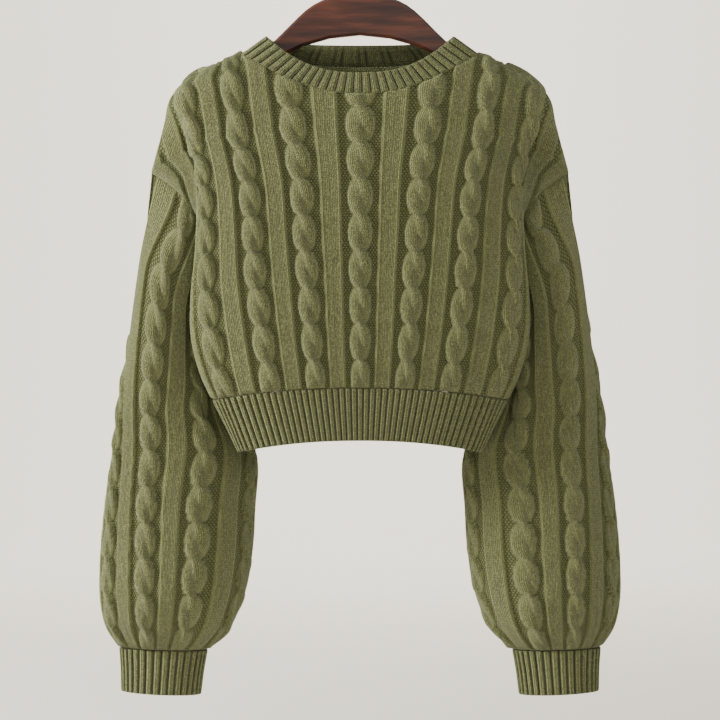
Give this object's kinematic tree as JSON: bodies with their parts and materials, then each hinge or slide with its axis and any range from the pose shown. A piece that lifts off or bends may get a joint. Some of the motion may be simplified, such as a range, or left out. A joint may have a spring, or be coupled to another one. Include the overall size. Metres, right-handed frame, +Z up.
{
  "type": "cropped knit sweater on a wooden hanger",
  "caption": "Cropped cable-knit sweater with drop shoulders, balloon sleeves and ribbed trims, hanging on an arched wooden hanger with a metal hook.",
  "frame": {"origin": "inner crook of the hanger's hook, where a rail carries the part", "axes": "+Z up, +X to the right seen from the front, front of the sweater towards -Y"},
  "size_m": [0.5568, 0.1164, 0.8055],
  "materials": {
    "knit": "matte wool",
    "rib": "matte wool rib",
    "wood": "satin varnish",
    "hook": "polished"
  },
  "bodies": {
    "root": {"front": "knit", "back": "knit", "hem_rib_front": "rib", "hem_rib_back": "rib", "neckband": "rib", "sleeve_left": "knit", "sleeve_right": "knit", "cuff_left": "rib", "cuff_right": "rib", "hanger_wood": "wood", "hanger_hook": "hook"}
  },
  "joints": []
}
